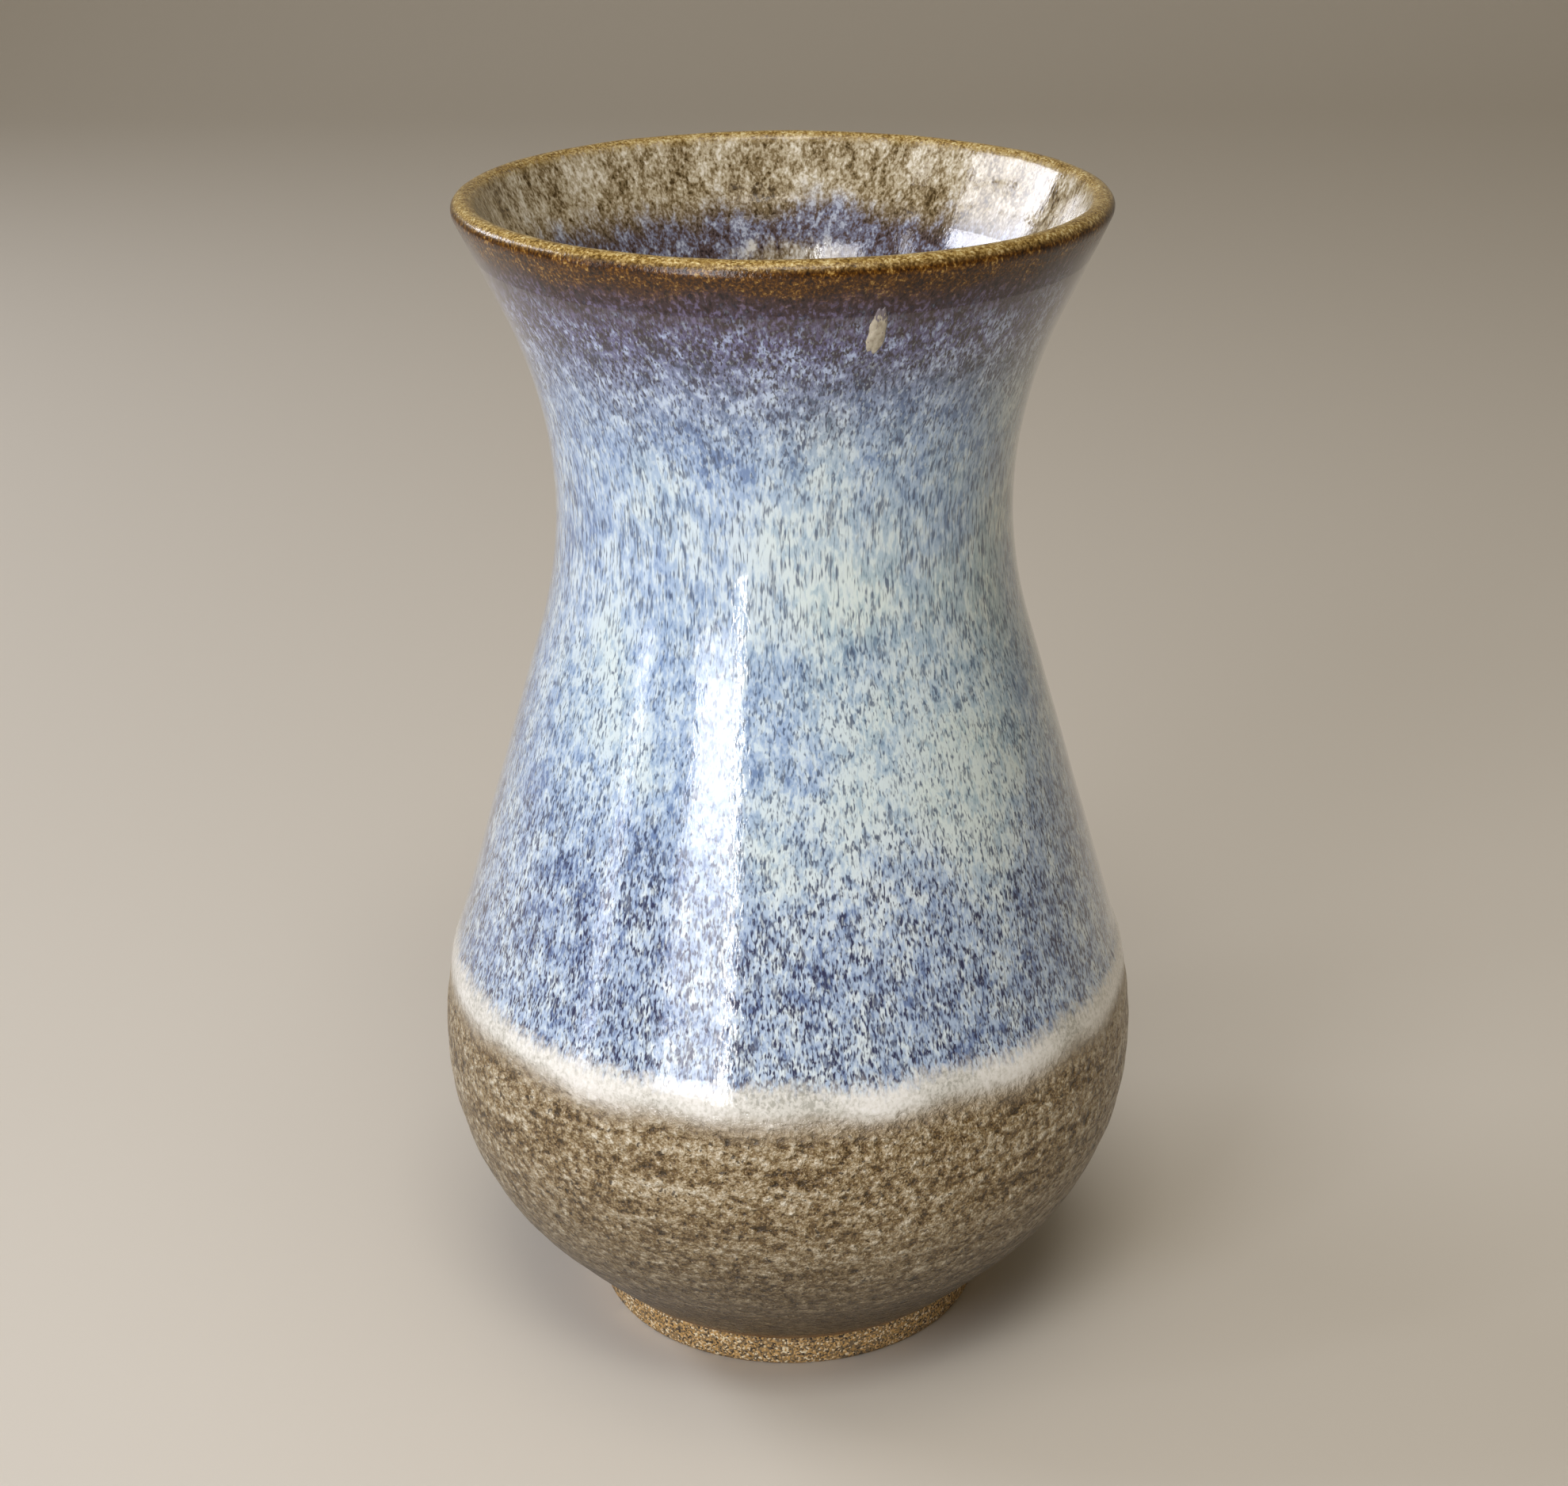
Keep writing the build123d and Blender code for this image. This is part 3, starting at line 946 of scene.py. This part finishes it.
def make_stage():
    """A pale floor that sweeps up behind the vase."""
    wide, deep, tall, bend = 3.0, 1.6, 2.0, 0.5
    section = [(-2.0, 0.0), (deep - bend, 0.0)]
    section += [
        (deep - bend + bend * sin(radians(a)), bend - bend * cos(radians(a)))
        for a in range(6, 91, 6)
    ]
    section.append((deep, tall))
    points = [(side, y, z) for y, z in section for side in (-wide, wide)]
    faces = [(2 * i, 2 * i + 1, 2 * i + 3, 2 * i + 2) for i in range(len(section) - 1)]
    mesh = bpy.data.meshes.new("floor")
    mesh.from_pydata(points, [], faces)
    mesh.shade_smooth()
    floor = bpy.data.objects.new("floor", mesh)
    bpy.context.collection.objects.link(floor)
    material, g, shader = new_material("pale_floor")
    g.put(shader.inputs["Base Color"], paint("e8e3d9"))
    g.put(shader.inputs["Roughness"], 0.7)
    mesh.materials.append(material)


def softbox(name, turn, distance, height, width, tall, strength, shade="ffffff", roll=0, only=None):
    """A rectangular light facing the vase, or lighting only the pieces of one collection.

    turn is from the front, towards +X, in degrees.
    """
    light = bpy.data.lights.new(name, "AREA")
    light.shape = "RECTANGLE"
    light.size, light.size_y = width, tall
    light.energy = strength * pi * width * tall
    light.color = paint(shade)[:3]
    lamp = bpy.data.objects.new(name, light)
    bpy.context.collection.objects.link(lamp)
    lamp.visible_camera = False
    lamp.light_linking.receiver_collection = only
    angle = radians(turn)
    lamp.location = (distance * sin(angle), -distance * cos(angle), height)
    aim = Vector((0, 0, HEIGHT / 2)) - lamp.location
    if tall > width:
        aim.z = 0
    facing = aim.to_track_quat("-Z", "Y").to_matrix()
    lamp.rotation_euler = (facing @ Matrix.Rotation(radians(roll), 3, "Z")).to_euler()


def make_lights():
    """Tall windows on the left, one behind on the left, soft light from above, a dim surround."""
    softbox("window", -31, 0.46, 0.350, 0.17, 0.300, 5.4, "f5f5fc")
    softbox("window_middle", -29.5, 0.46, 0.170, 0.13, 0.056, 10.0, "f5f5fc", only=VASE)
    softbox("window_low", -31, 0.46, 0.111, 0.15, 0.062, 4.2, "f5f5fc", only=VASE)
    softbox("window_gap", -19.5, 0.46, 0.25, 0.014, 0.50, 20.0, "ffffff", only=VASE)
    softbox("side_window", -66, 0.70, 0.375, 0.06, 0.65, 4.4, "f5f5fc")
    softbox("rear_window", -113, 0.90, 0.553, 0.80, 0.12, 11.0, "f3f5ff", roll=27)
    softbox("front_fill", 2, 0.56, 1.06, 0.45, 0.25, 6.0, "fff9f0")
    softbox("overhead", -4, 0.36, 1.2, 0.9, 0.9, 1.35, "fff6ea")
    world = bpy.data.worlds.new("studio")
    world.use_nodes = True
    background = world.node_tree.nodes["Background"]
    background.inputs["Color"].default_value = paint("e8d6b8")
    background.inputs["Strength"].default_value = 0.17
    bpy.context.scene.world = world
    bpy.context.scene.view_settings.view_transform = "Standard"


def make_camera():
    """A close view from above the lip, as from a hand-held camera."""
    data = bpy.data.cameras.new("camera")
    data.lens = 60.74
    data.sensor_width = 36.0
    camera = bpy.data.objects.new("camera", data)
    bpy.context.collection.objects.link(camera)
    away, rise = 2.10 * HEIGHT, 1.421 * HEIGHT
    pitch, roll, yaw = radians(90 - 23.18), radians(-0.37), radians(0.05)
    camera.matrix_world = (
        Matrix.Translation((0, -away, rise))
        @ Matrix.Rotation(yaw, 4, "Z")
        @ Matrix.Rotation(pitch, 4, "X")
        @ Matrix.Rotation(roll, 4, "Z")
    )
    bpy.context.scene.camera = camera


make_stage()
make_lights()
make_camera()

bpy.context.view_layer.update()
